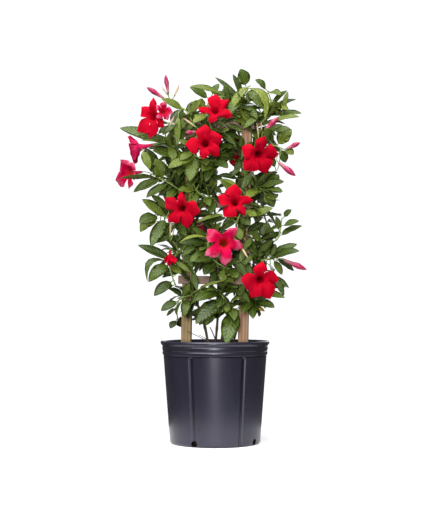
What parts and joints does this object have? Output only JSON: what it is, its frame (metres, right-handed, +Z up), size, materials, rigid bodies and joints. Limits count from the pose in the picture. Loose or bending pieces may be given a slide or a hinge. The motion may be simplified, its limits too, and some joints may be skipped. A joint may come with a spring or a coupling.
{
  "type": "potted mandevilla on a trellis",
  "caption": "Flowering mandevilla vine trained up a wooden ladder trellis in a round fluted nursery pot; stands on its flat base.",
  "frame": {"origin": "middle of the pot's flat underside, where the pot stands on the floor", "axes": "+Z up; -Y is the front, where most flowers face; +X is to the right as seen from the front"},
  "size_m": [0.4466, 0.2773, 0.8958],
  "materials": {
    "pot_plastic": "semi-gloss moulded plastic",
    "potting_soil": "loose dark potting mix",
    "trellis_wood": "rough sawn softwood",
    "nail_steel": "dull wire nail",
    "vine_bark": "dark woody stem",
    "foliage": "smooth leaf with a soft waxy gloss",
    "petal_red": "velvety petal",
    "petal_pink": "velvety petal",
    "bud_pink": "smooth twisted bud"
  },
  "bodies": {
    "root": {"pot": "pot_plastic", "soil": "potting_soil", "trellis_post_left": "trellis_wood", "trellis_post_right": "trellis_wood", "rung_low": "trellis_wood", "rung_middle": "trellis_wood", "rung_top": "trellis_wood", "nail_1": "nail_steel", "nail_2": "nail_steel", "nail_3": "nail_steel", "nail_4": "nail_steel", "nail_5": "nail_steel", "nail_6": "nail_steel", "vine_left": "vine_bark", "vine_middle": "vine_bark", "vine_right": "vine_bark", "bloom_upper_left_red": "petal_red", "bloom_upper_left_pink": "petal_pink", "bloom_top_red": "petal_red", "bloom_high_red": "petal_red", "bloom_right_red": "petal_red", "bloom_left_red": "petal_red", "bloom_middle_red": "petal_red", "bloom_middle_pink": "petal_pink", "bloom_low_red": "petal_red", "bloom_side_pink_upper": "petal_pink", "bloom_side_pink_lower": "petal_pink", "bloom_hanging_red": "petal_red", "bloom_back_red": "petal_red", "bloom_back_pink": "petal_pink", "bud_top_left_side": "bud_pink", "bud_top_left_tall": "bud_pink", "bud_high_red": "bud_pink", "bud_right_tall": "bud_pink", "bud_right_short": "bud_pink", "bud_right_low": "bud_pink", "bud_low_right": "bud_pink", "shoot_top_left": "foliage", "shoot_left_upper": "foliage", "shoot_left_middle": "foliage", "shoot_left_centre": "foliage", "shoot_left_low": "foliage", "shoot_left_bottom": "foliage", "shoot_top_middle": "foliage", "shoot_top_front": "foliage", "shoot_front_upper": "foliage", "shoot_front_middle": "foliage", "shoot_front_right": "foliage", "shoot_front_low": "foliage", "shoot_front_bottom": "foliage", "shoot_top_right": "foliage", "shoot_right_upper": "foliage", "shoot_right_middle": "foliage", "shoot_right_spray": "foliage", "shoot_right_low": "foliage", "shoot_right_bottom": "foliage", "shoot_back_top": "foliage", "shoot_back_left": "foliage", "shoot_back_right": "foliage", "shoot_back_middle": "foliage"}
  },
  "joints": []
}
